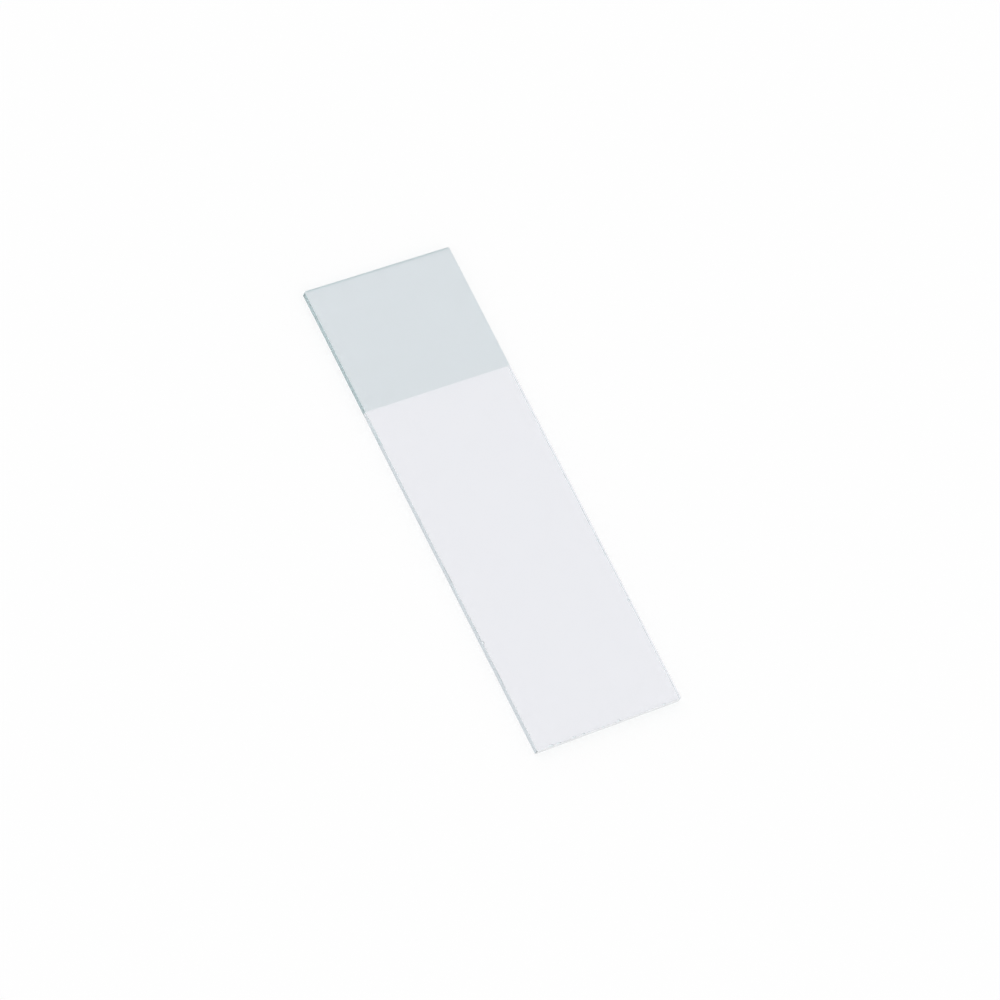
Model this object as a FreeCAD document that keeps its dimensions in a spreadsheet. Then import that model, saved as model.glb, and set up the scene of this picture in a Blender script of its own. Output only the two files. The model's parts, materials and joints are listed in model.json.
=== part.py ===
import FreeCAD, Part
import os
import Sketcher

# A plain glass microscope slide with one frosted end. It lies flat, with its long axis along X,
# the frosted marking face up at the -X end, and the origin at the centre of its underside.

# Driving sizes, in millimetres: alias, value, what it is.
SIZES = [
    ("slide_length", 75.0, "overall length, along X"),
    ("slide_width", 25.0, "overall width, along Y"),
    ("slide_thickness", 1.0, "thickness of the glass sheet"),
    ("corner_radius", 0.3, "blunting of the four upright corners"),
    ("edge_seam", 0.06, "leg of the 45 degree seam that dulls the rims of both faces"),
    ("frosted_length", 20.0, "length of the frosted marking face, from the -X end"),
    ("frosting_depth", 0.02, "depth of glass taken off by the frosting"),
    ("frosting_overrun", 1.0, "how far the frosting's outline runs off the glass"),
]

# Two coordinates closer than this are the same one.
TOLERANCE = 1e-6
# Half side of a rectangle as it is first sketched, before the sizes drive it.
ROUGH_HALF_SIDE = 10.0

doc = FreeCAD.newDocument("microscope_slide")


def add_size_sheet():
    """Put the driving sizes in a spreadsheet, one aliased cell each."""
    sheet = doc.addObject("Spreadsheet::Sheet", "Sizes")
    for row, (alias, value, meaning) in enumerate(SIZES, start=1):
        sheet.set(f"A{row}", alias)
        sheet.set(f"B{row}", str(value))
        sheet.set(f"C{row}", meaning)
        sheet.setAlias(f"B{row}", alias)
    doc.recompute()


def add_rectangle_sketch(body, name, length, width):
    """Add a sketch on the body's own XY plane: a closed rectangle centred on the sketch's origin,
    whose length along X and width along Y follow two expressions."""
    sketch = body.newObject("Sketcher::SketchObject", name)
    plane = next(item for item in body.Origin.OriginFeatures if item.Role == "XY_Plane")
    sketch.AttachmentSupport = [(plane, "")]
    sketch.MapMode = "FlatFace"
    corners = [
        FreeCAD.Vector(x * ROUGH_HALF_SIDE, y * ROUGH_HALF_SIDE, 0)
        for x, y in ((-1, -1), (1, -1), (1, 1), (-1, 1))
    ]
    for side in range(4):
        sketch.addGeometry(Part.LineSegment(corners[side], corners[(side + 1) % 4]), False)
    for side in range(4):
        sketch.addConstraint(Sketcher.Constraint("Coincident", side, 2, (side + 1) % 4, 1))
    for side in (0, 2):
        sketch.addConstraint(Sketcher.Constraint("Horizontal", side))
    for side in (1, 3):
        sketch.addConstraint(Sketcher.Constraint("Vertical", side))
    sketch.addConstraint(Sketcher.Constraint("Symmetric", 0, 1, 1, 2, -1, 1))
    drive_side(sketch, "DistanceX", 0, "length", length)
    drive_side(sketch, "DistanceY", 1, "width", width)
    return sketch


def drive_side(sketch, kind, side, name, expression):
    """Give one side of a sketch a named length that follows an expression."""
    constraint = Sketcher.Constraint(kind, side, 1, side, 2, 2 * ROUGH_HALF_SIDE)
    sketch.renameConstraint(sketch.addConstraint(constraint), name)
    sketch.setExpression(f"Constraints.{name}", expression)


def edge_names(shape, is_wanted):
    """Name the edges of a shape whose two ends satisfy a test."""
    names = []
    for index, edge in enumerate(shape.Edges, start=1):
        start, end = edge.Vertexes[0].Point, edge.Vertexes[-1].Point
        if is_wanted(start, end):
            names.append(f"Edge{index}")
    return names


def is_upright(start, end):
    """True for an edge that runs through the thickness."""
    return abs(start.z - end.z) > TOLERANCE


def is_level(start, end):
    """True for an edge that lies in one of the two faces."""
    return not is_upright(start, end)


def add_dressing(body, kind, name, base, is_wanted, size_property, expression):
    """Add a Fillet or Chamfer to the chosen edges of the feature before it."""
    dressing = body.newObject(f"PartDesign::{kind}", name)
    dressing.Base = (base, edge_names(base.Shape, is_wanted))
    dressing.setExpression(size_property, expression)
    doc.recompute()
    return dressing


def add_blank(body):
    """The sheet of glass as it is cut: a centred rectangle raised to its thickness."""
    outline = add_rectangle_sketch(body, "cut_outline", "Sizes.slide_length", "Sizes.slide_width")
    blank = body.newObject("PartDesign::Pad", "glass_blank")
    blank.Profile = outline
    blank.setExpression("Length", "Sizes.slide_thickness")
    doc.recompute()
    return blank


def add_frosting(body):
    """The frosted marking face: a shallow step across the full width of the -X end. Its outline
    runs off the glass on three sides and stops in one straight line across it."""
    outline = add_rectangle_sketch(
        body,
        "frosted_outline",
        "Sizes.frosted_length + Sizes.frosting_overrun",
        "Sizes.slide_width + 2 * Sizes.frosting_overrun",
    )
    middle = "(Sizes.frosted_length - Sizes.frosting_overrun - Sizes.slide_length) / 2"
    outline.setExpression("AttachmentOffset.Base.x", middle)
    outline.setExpression("AttachmentOffset.Base.z", "Sizes.slide_thickness")
    frosting = body.newObject("PartDesign::Pocket", "frosted_face")
    frosting.Profile = outline
    frosting.setExpression("Length", "Sizes.frosting_depth")
    doc.recompute()
    return frosting


def add_slide():
    """The slide, as one piece of glass: cut, corners blunted, seams ground, one end frosted."""
    body = doc.addObject("PartDesign::Body", "slide")
    body.Label = "slide"
    blank = add_blank(body)
    blunted = add_dressing(
        body, "Fillet", "blunted_corners", blank, is_upright, "Radius", "Sizes.corner_radius"
    )
    add_dressing(body, "Chamfer", "seamed_rims", blunted, is_level, "Size", "Sizes.edge_seam")
    body.Tip = add_frosting(body)
    body.Placement = FreeCAD.Placement()
    doc.recompute()
    return body


def check_document():
    """Stop if any object of the document failed to build."""
    for item in doc.Objects:
        if "Invalid" in item.State or "Error" in item.State:
            raise RuntimeError(f"{item.Label} did not build: {item.State}")


def check_frosting(body):
    """Stop if the frosting took no glass away."""
    before = doc.getObject("seamed_rims").Shape.Volume
    if body.Shape.Volume >= before - TOLERANCE:
        raise RuntimeError("the frosted face was not cut")


def write_step(body):
    """Write one finished sub-part to its own file."""
    if body.Shape.isNull() or not body.Shape.isValid():
        raise RuntimeError(f"{body.Label} is not a valid solid")
    body.Shape.exportStep(f"parts/{body.Label}.step")


add_size_sheet()
slide = add_slide()
check_document()
check_frosting(slide)
os.makedirs("parts", exist_ok=True)
write_step(slide)
box = slide.Shape.BoundBox
print(f"slide: {len(slide.Shape.Solids)} solid, {box.XLength:.3f} x {box.YLength:.3f} x "
      f"{box.ZLength:.3f} mm, {slide.Shape.Volume:.2f} mm3, {len(slide.Shape.Faces)} faces")
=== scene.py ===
import json
import math
import random

import bpy
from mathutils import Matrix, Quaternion, Vector


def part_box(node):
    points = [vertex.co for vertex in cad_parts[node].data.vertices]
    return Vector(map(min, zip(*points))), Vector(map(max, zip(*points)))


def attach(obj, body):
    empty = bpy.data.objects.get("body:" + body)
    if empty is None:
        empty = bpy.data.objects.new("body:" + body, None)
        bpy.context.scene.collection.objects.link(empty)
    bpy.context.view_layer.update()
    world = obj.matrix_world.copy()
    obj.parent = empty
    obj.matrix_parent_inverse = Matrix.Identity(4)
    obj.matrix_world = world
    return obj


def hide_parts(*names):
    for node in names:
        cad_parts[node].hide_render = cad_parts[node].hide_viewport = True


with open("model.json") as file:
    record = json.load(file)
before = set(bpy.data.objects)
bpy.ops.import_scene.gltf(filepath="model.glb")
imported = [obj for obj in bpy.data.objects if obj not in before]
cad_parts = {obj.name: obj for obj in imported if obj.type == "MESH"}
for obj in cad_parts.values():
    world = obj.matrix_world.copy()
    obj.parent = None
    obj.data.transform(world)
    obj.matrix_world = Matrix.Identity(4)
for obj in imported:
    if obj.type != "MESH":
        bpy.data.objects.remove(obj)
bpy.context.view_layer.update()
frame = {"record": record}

# A glass microscope slide with one frosted end, lying flat on a white floor. Lengths are in metres.

MM = 0.001

# The slide's sizes, from the frame. The frosted face's own come from where its mount stands.
LOW, HIGH = (Vector(corner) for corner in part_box("slide"))
CENTRE = (LOW + HIGH) / 2
LENGTH, WIDTH, THICKNESS = HIGH - LOW
MOUNTS = {mount["name"]: mount for mount in frame["record"]["mounts"]}
MARKING_MIDDLE = Vector(MOUNTS["marking_face"]["pos_m"])
FROSTED_LENGTH = 2 * (MARKING_MIDDLE.x - LOW.x)
FROSTING_DEPTH = HIGH.z - MARKING_MIDDLE.z
FROSTING_LINE = LOW.x + FROSTED_LENGTH

# How the glass is worked.
CORNER_RADIUS = 0.3 * MM
CORNER_SEGMENTS = 4
EDGE_SEAM = 0.06 * MM
CUT_WAVE = 0.032 * MM           # how far the cut edges wander inwards
CUT_WAVE_SPREAD = 6 * MM        # how far apart those swells lie
CUT_HACKLE = 0.006 * MM         # depth of the fine ripple on the cut edges
CUT_HACKLE_SPREAD = 0.25 * MM
CUT_PITCH = 0.3 * MM            # longest mesh column round them
CUT_ROWS = 5                    # mesh rows up them
AIR_FILM = 0.05 * MM            # between the slide and the floor

# The small shell-shaped chips along the rims. Each is the bite of a ball, stretched along X, Y and Z.
CHIP_SEED = 7
CHIP_COUNT = 26
CHIP_SIZES = (0.10 * MM, 0.26 * MM)
CHIP_STRETCH = (1.0, 1.0, 0.55)
CHIP_SUBDIVISIONS = 3
# The clear end's upper rim has wider ones, at these places in mm across it.
END_CHIPS = (-10.2, -8.9, -6.2, -4.6, -1.2, 1.5, 9.4)
END_CHIP_SIZES = (0.17 * MM, 0.26 * MM)
END_CHIP_REACH = 1.3
END_CHIP_WIDTHS = (1.4, 2.4)
END_CHIP_DEPTH = 0.65

# How exactly the mesh is worked.
ON_THE_PLANE = 0.0001 * MM      # a corner nearer than this to a cut lies on it
WELD = 0.001 * MM               # corners nearer than this to each other are made one
LEVEL = EDGE_SEAM / 10          # an edge that rises less than this is level
SMOOTH_ANGLE = math.radians(30)

# The camera: seen from the front right, from above, and turned about its own axis.
AZIMUTH = math.radians(25.87)
ELEVATION = math.radians(56.19)
ROLL = math.radians(40.98)
DISTANCE = 789.4 * MM
LENS = 200                      # in mm, the unit that a camera's lens is set in
SLIDE_LEFT_OF_MIDDLE = 1.43 * MM
SLIDE_ABOVE_MIDDLE = 0.40 * MM
CLIP_RATIO = 100                # how many times nearer and farther than the slide the camera sees
TOWARDS_CAMERA = Vector((
    math.sin(AZIMUTH) * math.cos(ELEVATION),
    -math.cos(AZIMUTH) * math.cos(ELEVATION),
    math.sin(ELEVATION),
))

# The glass.
GLASS_INDEX = 1.52
ABSORBED_TINT = (0.48, 0.735, 0.758)
ABSORPTION = 26.0               # per metre, times one minus the tint
CLEAR_TINT = (0.893, 0.893, 0.923)
FROSTED_TINT = (0.685, 0.744, 0.765)
FROSTED_TINT_DIP = 0.975        # how dark that tint gets, as a share of itself
SEAM_TINT = (0.98, 0.99, 1.0)
CHIP_TINT = (0.82, 0.92, 0.93)
END_TINT = (0.98, 0.99, 1.0)
# At the frosted end the ends are painted darker and more teal than at the clear end: painted shade on the
# same cut glass.
FROSTED_END_TINT_WITH_PAINTED_SHADE = (0.62, 0.70, 0.71)
SIDE_TINT = (1.0, 0.895, 0.95)
# Likewise the long sides at the frosted end: painted shade, darker and more teal than at the clear end.
FROSTED_SIDE_TINT_WITH_PAINTED_SHADE = (0.38, 0.47, 0.48)
FROSTED_ROUGHNESS = 0.55
FROSTED_ROUGHNESS_DIP = 0.06
END_ROUGHNESS = 0.90
END_ROUGHNESS_DIP = 0.1
SIDE_ROUGHNESS = 0.06
SEAM_ROUGHNESS = 0.30
CHIP_ROUGHNESS = 0.4

# Where its finishes meet.
FROSTING_WAVER = 0.12 * MM      # the whole width in which the frosting's line strays
FROSTING_FADE = 0.03 * MM       # half the width over which the frosting fades out
FROSTED_SKIN = 1.5 * FROSTING_DEPTH
CUT_SKIN = CUT_WAVE + CUT_HACKLE + 0.01 * MM
WALL_MARGIN = 0.9 * EDGE_SEAM   # nearer a face than this, a cut edge has given way to its seam
SEAM_MARGIN = 1.3 * EDGE_SEAM

# Its cloudy patterns, in cycles a metre.
WAVER_SCALE = 900.0
MOTTLE_SCALE = 1500.0
CLOUD_SCALE = 70.0
GRAIN_SCALE = 9000.0
GRAIN_DEPTH = 0.01 * MM
STREAK_SCALE = 5000.0
STREAK_STRETCH = (1.0, 0.06, 1.0)
STREAKS = (0.8, 1.2)            # the dust that the streaks hold, as shares of the rest

# The white dust that grinding leaves, and a painted sheen: more of the same white at a glance, standing
# in for glancing reflection. Each pair is its cover seen straight on and at a glance.
DUST_AND_SHEEN = (0.965, 0.98, 0.995)
DUST_AND_SHEEN_ROUGHNESS = 0.2
DUST_ON_SEAMS = 0.7
DUST_ON_CHIPS = 0.15
# On the ends the straight-on share is dust and the rise at a glance is painted sheen.
DUST_AND_SHEEN_ON_ENDS = (0.2, 1.4)
# The long sides have no dust straight on: their cover is painted sheen only.
SHEEN_ON_SIDES = (0.0, 0.6)

# The floor and the light.
FLOOR_SIZE = 6.0
FLOOR_ROUGHNESS = 0.9
FLOOR_WHITE = 0.992             # as the floor shows where no shadow falls
FLOOR_SHADED = 0.30             # the part of that white which a shadow can darken
FLOOR_BOUNCE = 0.55             # how much light the floor gives back to the things on it
SURROUND = 1.055
FLAG_DEPTH = 0.2                # the share of the surround's light that the flag takes away
FLAG_EDGE = math.radians(45)
FLAG_CORE = math.radians(15)

# How often light may turn on its way through the glass.
GLOSSY_TURNS = 44
CROSSINGS = 24
ALL_TURNS = 48


# ---------------------------------------------------------------- materials

class Field:
    """A number that varies over a surface: a node's output that takes part in sums."""

    def __init__(self, paint, socket):
        self.paint = paint
        self.socket = socket

    def math(self, operation, *values, clamp=False):
        settings = {"operation": operation, "use_clamp": clamp}
        return self.paint.node("ShaderNodeMath", settings, dict(enumerate(values)))

    def __add__(self, other):
        return self.math("ADD", self, other)

    def __sub__(self, other):
        return self.math("SUBTRACT", self, other)

    def __rsub__(self, other):
        return self.math("SUBTRACT", other, self)

    def __mul__(self, other):
        return self.math("MULTIPLY", self, other)

    def __gt__(self, other):
        return self.math("GREATER_THAN", self, other)

    def __lt__(self, other):
        return self.math("LESS_THAN", self, other)

    def __abs__(self):
        return self.math("ABSOLUTE", self)

    __radd__ = __add__
    __rmul__ = __mul__

    def largest(self, other):
        return self.math("MAXIMUM", self, other)

    def least(self, other):
        return self.math("MINIMUM", self, other)

    def root(self):
        return self.math("SQRT", self)

    def between(self, first, last):
        """From the first number to the last, as this one goes from 0 to 1."""
        return self.math("MULTIPLY_ADD", self, last - first, first)

    def rise(self, start, end):
        """0 at the start and 1 at the end, with a straight ramp between them."""
        return self.math("MULTIPLY_ADD", self, 1 / (end - start), -start / (end - start), clamp=True)


class Paint:
    """The node tree of a material or of the world."""

    def __init__(self, owner):
        owner.use_nodes = True
        self.tree = owner.node_tree
        self.tree.nodes.clear()

    def node(self, kind, settings=None, inputs=None, output=0):
        """Add one node: its settings first, then its sockets' values or links."""
        node = self.tree.nodes.new(kind)
        for name, value in (settings or {}).items():
            setattr(node, name, value)
        for name, value in (inputs or {}).items():
            if isinstance(value, Field):
                self.tree.links.new(value.socket, node.inputs[name])
            else:
                node.inputs[name].default_value = value
        return Field(self, node.outputs[output]) if node.outputs else None

    def blend(self, factor, first, second):
        """A colour that goes from the first to the second as the factor goes from 0 to 1."""
        settings = {"data_type": "RGBA", "blend_type": "MIX"}
        inputs = {"Factor": factor, 6: colour(first), 7: colour(second)}
        return self.node("ShaderNodeMix", settings, inputs, output=2)

    def noise(self, position, scale, detail=2.0):
        """Fine cloudy noise from 0 to 1. The scale is in cycles a metre."""
        inputs = {"Vector": position, "Scale": scale, "Detail": detail}
        return self.node("ShaderNodeTexNoise", {"noise_dimensions": "3D"}, inputs)

    def stretched(self, position, shares):
        """The position, with each axis multiplied by its share."""
        return self.node("ShaderNodeVectorMath", {"operation": "MULTIPLY"}, {0: position, 1: shares})


def colour(value):
    """A plain colour with its alpha, or a field as it is."""
    return value if isinstance(value, Field) else (*value, 1.0)


def glass_material():
    """Soda-lime glass: clear on its faces, matt where it is frosted, and teal along its cut edges, with
    painted shade on those edges at the frosted end and a painted white sheen on them at a glance.
    """
    material = bpy.data.materials.new("soda_lime_glass")
    paint = Paint(material)
    position = paint.node("ShaderNodeTexCoord", output="Object")
    axes = {axis: paint.node("ShaderNodeSeparateXYZ", None, {0: position}, output=axis) for axis in "XYZ"}

    # How far a point lies inside the ends, the long sides, the rounded outline and the nearer face.
    from_end = LENGTH / 2 - abs(axes["X"])
    from_side = WIDTH / 2 - abs(axes["Y"])
    past_end = (CORNER_RADIUS - from_end).largest(0.0)
    past_side = (CORNER_RADIUS - from_side).largest(0.0)
    from_outline = CORNER_RADIUS - (past_end * past_end + past_side * past_side).root()
    from_face = axes["Z"].least(THICKNESS - axes["Z"])

    # The frosted face: the top, as far as the frosting's line, which wavers by a hair.
    waver = (paint.noise(position, WAVER_SCALE) - 0.5) * FROSTING_WAVER
    marking_end = (axes["X"] + waver).rise(FROSTING_LINE + FROSTING_FADE, FROSTING_LINE - FROSTING_FADE)
    frosted = marking_end * (axes["Z"] > THICKNESS - FROSTED_SKIN)

    # The ground ends, the smoother long sides, the dulled seams between them and the faces, and the
    # chips, which bite deeper into the glass than the frosting does.
    wall = (from_outline < CUT_SKIN) * (from_face > WALL_MARGIN)
    end = wall * (from_end < from_side)
    side = wall - end
    seam = (1 - wall) * (from_outline + from_face < SEAM_MARGIN)
    face = 1 - wall - seam
    chip = face * (from_face > FROSTED_SKIN)

    mottle = paint.noise(position, MOTTLE_SCALE, 4.0)
    unevenness = 0.5 * mottle + 0.5 * paint.noise(position, CLOUD_SCALE)
    darkest_frosted_tint = [FROSTED_TINT_DIP * part for part in FROSTED_TINT]
    tint = paint.blend(frosted, CLEAR_TINT, paint.blend(unevenness, darkest_frosted_tint, FROSTED_TINT))
    # Under the frosting, the ends and sides take darker, more teal tints: painted shade.
    tint = paint.blend(end, tint, paint.blend(marking_end, END_TINT, FROSTED_END_TINT_WITH_PAINTED_SHADE))
    tint = paint.blend(side, tint, paint.blend(marking_end, SIDE_TINT, FROSTED_SIDE_TINT_WITH_PAINTED_SHADE))
    tint = paint.blend(seam, tint, SEAM_TINT)
    tint = paint.blend(chip, tint, CHIP_TINT)

    roughness = face * frosted * (FROSTED_ROUGHNESS - FROSTED_ROUGHNESS_DIP * mottle)
    roughness = roughness + end * (END_ROUGHNESS - END_ROUGHNESS_DIP * mottle)
    roughness = roughness + side * SIDE_ROUGHNESS + seam * SEAM_ROUGHNESS + chip * CHIP_ROUGHNESS

    grain = paint.noise(position, GRAIN_SCALE, 3.0) * (frosted + end.largest(seam)) * GRAIN_DEPTH
    bump = paint.node("ShaderNodeBump", None, {"Strength": 1.0, "Distance": 1.0, "Height": grain})

    glass = paint.node(
        "ShaderNodeBsdfPrincipled",
        None,
        {
            "Base Color": tint,
            "Roughness": roughness,
            "IOR": GLASS_INDEX,
            "Transmission Weight": 1.0,
            "Normal": bump,
        },
    )
    dust_and_sheen = paint.node(
        "ShaderNodeBsdfPrincipled",
        None,
        {"Base Color": colour(DUST_AND_SHEEN), "Roughness": DUST_AND_SHEEN_ROUGHNESS, "Normal": bump},
    )

    # The dust and the painted sheen lie on the outer side only. The white that grows at a glance is
    # painted sheen, not dust.
    outside = 1 - paint.node("ShaderNodeNewGeometry", output="Backfacing")
    glancing = paint.node("ShaderNodeLayerWeight", None, {"Blend": 0.5}, output="Facing")
    streaks = paint.noise(paint.stretched(position, STREAK_STRETCH), STREAK_SCALE, 3.0)
    # Painted sheen: the white grows with the glance on the ends, over their real dust, and on the clear
    # end's sides.
    dust_and_sheen_on_end = (glancing * glancing).between(*DUST_AND_SHEEN_ON_ENDS) * streaks.between(*STREAKS)
    sheen_on_side = glancing.between(*SHEEN_ON_SIDES) * (1 - marking_end)
    dust_and_sheen_share = seam * DUST_ON_SEAMS + chip * DUST_ON_CHIPS + end * dust_and_sheen_on_end + side * sheen_on_side
    surface = paint.node("ShaderNodeMixShader", None, {0: outside * dust_and_sheen_share, 1: glass, 2: dust_and_sheen})
    volume = paint.node(
        "ShaderNodeVolumeAbsorption", None, {"Color": colour(ABSORBED_TINT), "Density": ABSORPTION}
    )
    paint.node("ShaderNodeOutputMaterial", None, {"Surface": surface, "Volume": volume})
    return material


# ---------------------------------------------------------------- the slide's mesh

def deselect_all():
    for item in bpy.context.selected_objects:
        item.select_set(False)


def choose(piece, kind, is_wanted):
    """In edit mode, select only the vertices, edges or faces that pass a test on their corners."""
    bpy.ops.mesh.select_mode(type=kind)
    bpy.ops.mesh.select_all(action="DESELECT")
    bpy.ops.object.mode_set(mode="OBJECT")
    mesh = piece.data
    items = {"VERT": mesh.vertices, "EDGE": mesh.edges, "FACE": mesh.polygons}[kind]
    for item in items:
        indices = [item.index] if kind == "VERT" else item.vertices
        item.select = is_wanted([mesh.vertices[index].co for index in indices])
    bpy.ops.object.mode_set(mode="EDIT")


def is_upright(corners):
    """True for an edge that runs through most of the thickness."""
    start, end = corners
    return abs(start.z - end.z) > THICKNESS / 2


def is_level(corners):
    """True for an edge that doesn't rise."""
    start, end = corners
    return abs(start.z - end.z) < LEVEL


def is_near_outline(point):
    """True on the cut edges all round, and as far in as the rounded corners reach."""
    past_side = abs(point.y) > WIDTH / 2 - CORNER_RADIUS
    past_end = abs(point.x) > LENGTH / 2 - CORNER_RADIUS
    return past_side or past_end


def is_long_column(corners):
    """True for a level edge that runs round the slide for longer than a mesh column may."""
    start, end = corners
    round_the_slide = all(is_near_outline(point) for point in (start, end, (start + end) / 2))
    return is_level(corners) and round_the_slide and (start - end).length > CUT_PITCH


def bisect(x):
    """In edit mode, cut a line of new edges right round the slide at one place along X."""
    bpy.ops.mesh.select_all(action="SELECT")
    bpy.ops.mesh.bisect(plane_co=(x, 0, 0), plane_no=(1, 0, 0), threshold=ON_THE_PLANE)


def lower_frosted_face(slide):
    """Sink the frosted face, with a ramp at its line that is as wide as the frosting is deep."""
    bisect(FROSTING_LINE)
    bisect(FROSTING_LINE + FROSTING_DEPTH)
    top = HIGH.z - EDGE_SEAM / 4
    ramp = FROSTING_LINE + FROSTING_DEPTH / 4
    choose(slide, "VERT", lambda points: points[0].z > top and points[0].x < ramp)
    bpy.ops.transform.translate(value=(0, 0, -FROSTING_DEPTH))


def divide_cut_edges(slide):
    """Divide the faces all round the slide into rows and short columns, to carry their ripple."""
    choose(slide, "EDGE", is_upright)
    bpy.ops.mesh.subdivide(number_cuts=CUT_ROWS - 1)
    while True:
        choose(slide, "EDGE", is_long_column)
        bpy.ops.object.mode_set(mode="OBJECT")
        found = any(edge.select for edge in slide.data.edges)
        bpy.ops.object.mode_set(mode="EDIT")
        if not found:
            return
        bpy.ops.mesh.subdivide(number_cuts=1)


def ripple(slide, name, spread, depth):
    """Draw the cut edges inwards by a cloudy pattern."""
    clouds = bpy.data.textures.new(name, "CLOUDS")
    clouds.noise_scale = spread
    modifier = slide.modifiers.new(name, "DISPLACE")
    modifier.texture = clouds
    modifier.texture_coords = "LOCAL"
    modifier.mid_level = 1.0
    modifier.strength = depth
    modifier.vertex_group = "cut_faces"
    bpy.ops.object.modifier_apply(modifier=name)


def roughen_cut_edges(slide):
    """Let the cut faces wander a little and carry a fine ripple, all inwards."""
    group = slide.vertex_groups.new(name="cut_faces")
    inside = EDGE_SEAM / 2
    members = [
        vertex.index
        for vertex in slide.data.vertices
        if LOW.z + inside < vertex.co.z < HIGH.z - FROSTING_DEPTH - inside
    ]
    group.add(members, 1.0, "REPLACE")
    ripple(slide, "wander", CUT_WAVE_SPREAD, CUT_WAVE)
    ripple(slide, "hackle", CUT_HACKLE_SPREAD, CUT_HACKLE)


def rim_point(dice, z):
    """A point at random on the slide's outline, at height z."""
    along = dice.uniform(0, 2 * (LENGTH + WIDTH))
    for length, start, step in (
        (LENGTH, Vector((LOW.x, LOW.y, z)), Vector((1, 0, 0))),
        (WIDTH, Vector((HIGH.x, LOW.y, z)), Vector((0, 1, 0))),
        (LENGTH, Vector((HIGH.x, HIGH.y, z)), Vector((-1, 0, 0))),
        (WIDTH, Vector((LOW.x, HIGH.y, z)), Vector((0, -1, 0))),
    ):
        if along < length:
            return start + step * along
        along -= length
    return Vector((LOW.x, LOW.y, z))


def chip_strikes():
    """Each chip's place, size and stretch."""
    dice = random.Random(CHIP_SEED)
    strikes = []
    for _ in range(CHIP_COUNT):
        place = rim_point(dice, dice.choice((LOW.z, HIGH.z)))
        strikes.append((place, dice.uniform(*CHIP_SIZES), CHIP_STRETCH))
    for y in END_CHIPS:
        place = Vector((HIGH.x, y * MM, HIGH.z))
        stretch = (END_CHIP_REACH, dice.uniform(*END_CHIP_WIDTHS), END_CHIP_DEPTH)
        strikes.append((place, dice.uniform(*END_CHIP_SIZES), stretch))
    return strikes


def chip_rims(slide):
    """Nick the rims with the chips, as cutting and handling leave them."""
    chips = []
    for place, size, stretch in chip_strikes():
        bpy.ops.mesh.primitive_ico_sphere_add(
            subdivisions=CHIP_SUBDIVISIONS, radius=size, location=place, scale=stretch
        )
        chips.append(bpy.context.object)
    deselect_all()
    for chip in chips:
        chip.select_set(True)
    bpy.context.view_layer.objects.active = chips[0]
    bpy.ops.object.join()
    cutter = bpy.context.object
    deselect_all()
    slide.select_set(True)
    bpy.context.view_layer.objects.active = slide
    nick = slide.modifiers.new("chips", "BOOLEAN")
    nick.operation = "DIFFERENCE"
    nick.solver = "EXACT"
    nick.use_self = True
    nick.object = cutter
    bpy.ops.object.modifier_apply(modifier=nick.name)
    bpy.data.objects.remove(cutter)
    bpy.ops.object.mode_set(mode="EDIT")
    bpy.ops.mesh.select_all(action="SELECT")
    bpy.ops.mesh.remove_doubles(threshold=WELD)
    bpy.ops.object.mode_set(mode="OBJECT")


def model_slide():
    """The slide as it is made: cut from sheet, corners blunted, rims seamed, one end frosted."""
    deselect_all()
    bpy.ops.mesh.primitive_cube_add(size=1, location=CENTRE, scale=(LENGTH, WIDTH, THICKNESS))
    slide = bpy.context.object
    slide.name = "slide_glass"
    bpy.ops.object.transform_apply(location=True, rotation=True, scale=True)
    bpy.ops.object.mode_set(mode="EDIT")
    choose(slide, "EDGE", is_upright)
    bpy.ops.mesh.bevel(offset=CORNER_RADIUS, segments=CORNER_SEGMENTS, profile=0.5, affect="EDGES")
    choose(slide, "EDGE", is_level)
    bpy.ops.mesh.bevel(offset=EDGE_SEAM, segments=1, affect="EDGES")
    lower_frosted_face(slide)
    divide_cut_edges(slide)
    bpy.ops.object.mode_set(mode="OBJECT")
    roughen_cut_edges(slide)
    chip_rims(slide)
    bpy.ops.object.shade_smooth_by_angle(angle=SMOOTH_ANGLE)
    return slide


# ---------------------------------------------------------------- floor, light and camera

def lay_floor():
    """A plain white floor that keeps the slide's shadow and reads as white where none falls."""
    deselect_all()
    bpy.ops.mesh.primitive_plane_add(size=FLOOR_SIZE, location=(0, 0, -AIR_FILM))
    plane = bpy.context.object
    plane.name = "floor"
    material = bpy.data.materials.new("white_floor")
    paint = Paint(material)
    shown = paint.node("ShaderNodeLightPath", output="Is Camera Ray")
    for output in ("Is Glossy Ray", "Is Transmission Ray"):
        shown = shown.largest(paint.node("ShaderNodeLightPath", output=output))
    shares = (FLOOR_BOUNCE, FLOOR_SHADED, FLOOR_WHITE - FLOOR_SHADED)
    bounced, shaded, glowing = ([share] * 3 for share in shares)
    surface = paint.node(
        "ShaderNodeBsdfPrincipled",
        None,
        {
            "Base Color": paint.blend(shown, bounced, shaded),
            "Roughness": FLOOR_ROUGHNESS,
            "Specular IOR Level": 0.0,
            "Emission Color": paint.blend(shown, (0, 0, 0), glowing),
            "Emission Strength": 1.0,
        },
    )
    paint.node("ShaderNodeOutputMaterial", None, {"Surface": surface})
    plane.data.materials.append(material)


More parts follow.
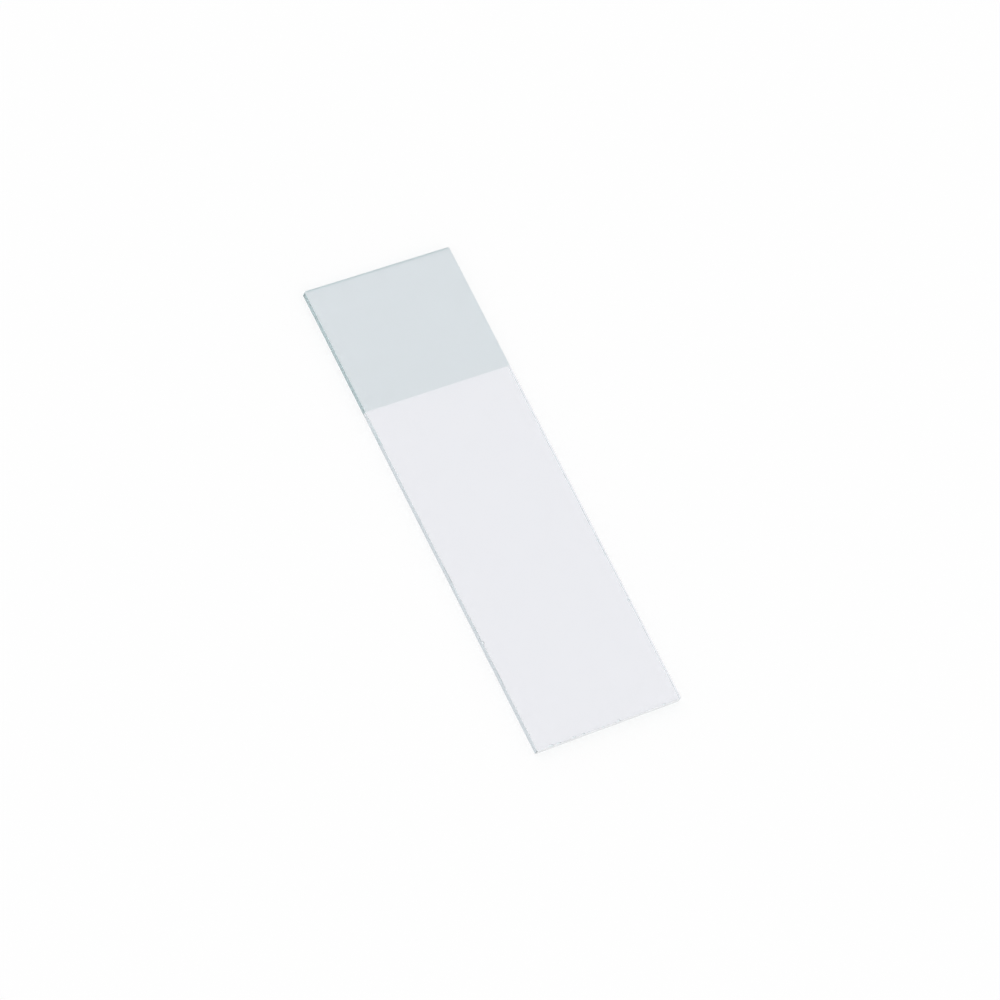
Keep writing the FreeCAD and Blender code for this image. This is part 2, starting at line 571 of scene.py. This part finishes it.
def light_studio():
    """A soft white surround, with a dark flag where the slide's faces mirror it to the camera."""
    world = bpy.data.worlds.new("studio")
    bpy.context.scene.world = world
    paint = Paint(world)
    direction = paint.node("ShaderNodeTexCoord", output="Generated")
    mirrored = (-TOWARDS_CAMERA.x, -TOWARDS_CAMERA.y, TOWARDS_CAMERA.z)
    inputs = {0: direction, 1: mirrored}
    towards = paint.node("ShaderNodeVectorMath", {"operation": "DOT_PRODUCT"}, inputs, output="Value")
    flag = towards.rise(math.cos(FLAG_EDGE), math.cos(FLAG_CORE))
    radiance = SURROUND * (1 - FLAG_DEPTH * flag)
    shown = paint.node("ShaderNodeLightPath", output="Is Camera Ray")
    strength = radiance * (1 - shown) + FLOOR_WHITE * shown
    background = paint.node("ShaderNodeBackground", None, {"Color": (1, 1, 1, 1), "Strength": strength})
    paint.node("ShaderNodeOutputWorld", None, {"Surface": background})


def place_camera():
    """The camera looks down on the slide and is rolled, so the slide lies across the frame."""
    deselect_all()
    bpy.ops.object.camera_add()
    eye = bpy.context.object
    eye.data.lens = LENS
    turn = (-TOWARDS_CAMERA).to_track_quat("-Z", "Y") @ Quaternion((0, 0, 1), ROLL)
    right = turn @ Vector((1, 0, 0))
    up = turn @ Vector((0, 1, 0))
    aim = right * SLIDE_LEFT_OF_MIDDLE - up * SLIDE_ABOVE_MIDDLE
    eye.rotation_mode = "QUATERNION"
    eye.rotation_quaternion = turn
    eye.location = TOWARDS_CAMERA * DISTANCE + aim
    eye.data.clip_start = DISTANCE / CLIP_RATIO
    eye.data.clip_end = DISTANCE * CLIP_RATIO
    bpy.context.scene.camera = eye


slide = model_slide()
slide.data.materials.clear()
slide.data.materials.append(glass_material())
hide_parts("slide")
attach(slide, "root")

lay_floor()
light_studio()
place_camera()

scene = bpy.context.scene
scene.view_settings.view_transform = "Standard"
scene.cycles.blur_glossy = 0      # keeps the light that has crossed a matt face
scene.cycles.glossy_bounces = GLOSSY_TURNS
scene.cycles.transmission_bounces = CROSSINGS
scene.cycles.max_bounces = ALL_TURNS
